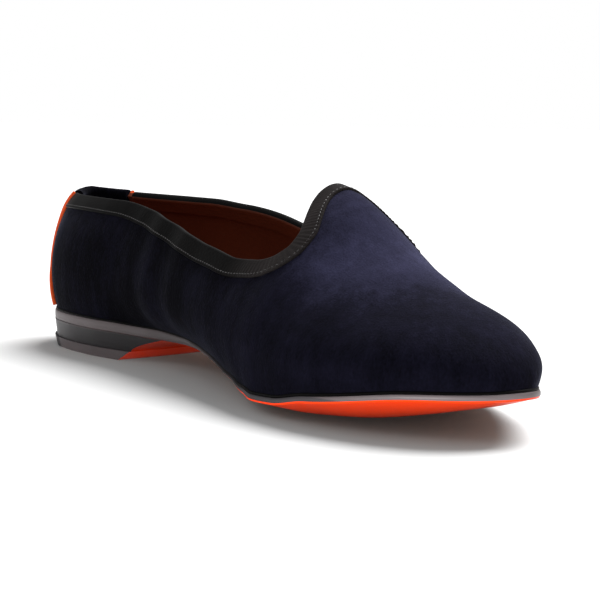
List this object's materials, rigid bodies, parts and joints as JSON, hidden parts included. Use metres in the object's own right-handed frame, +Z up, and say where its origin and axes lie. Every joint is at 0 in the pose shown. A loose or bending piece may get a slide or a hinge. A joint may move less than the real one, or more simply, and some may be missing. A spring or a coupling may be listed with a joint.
{
  "type": "velvet slipper loafer",
  "caption": "Left velvet slipper loafer: low one-piece upper with a raised tongue, bound collar, piped back panel, leather outsole and low stacked heel with a rubber rear piece.",
  "frame": {"origin": "on the floor, under the middle of the shoe's box", "axes": "+X from heel to toe, +Y to the outer side of the foot, +Z up"},
  "size_m": [0.2992, 0.093, 0.0777],
  "materials": {
    "sole_leather": "glossy dyed leather",
    "sole_edge": "waxed grey edge",
    "heel_rubber": "matt rubber",
    "brass": "polished",
    "velvet": "short dense pile",
    "lining_leather": "smooth lining leather",
    "binding_leather": "satin folded leather",
    "piping_leather": "satin leather cord"
  },
  "bodies": {
    "root": {"outsole": "sole_leather", "heel_lift": "sole_edge", "heel_rubber": "heel_rubber", "heel_leather": "sole_leather", "heel_nail_1": "brass", "heel_nail_2": "brass", "heel_nail_3": "brass", "heel_nail_4": "brass", "heel_nail_5": "brass", "upper": "velvet", "insole": "lining_leather", "topline_binding": "binding_leather", "back_panel": "velvet", "piping_inner": "piping_leather", "piping_outer": "piping_leather"}
  },
  "joints": []
}
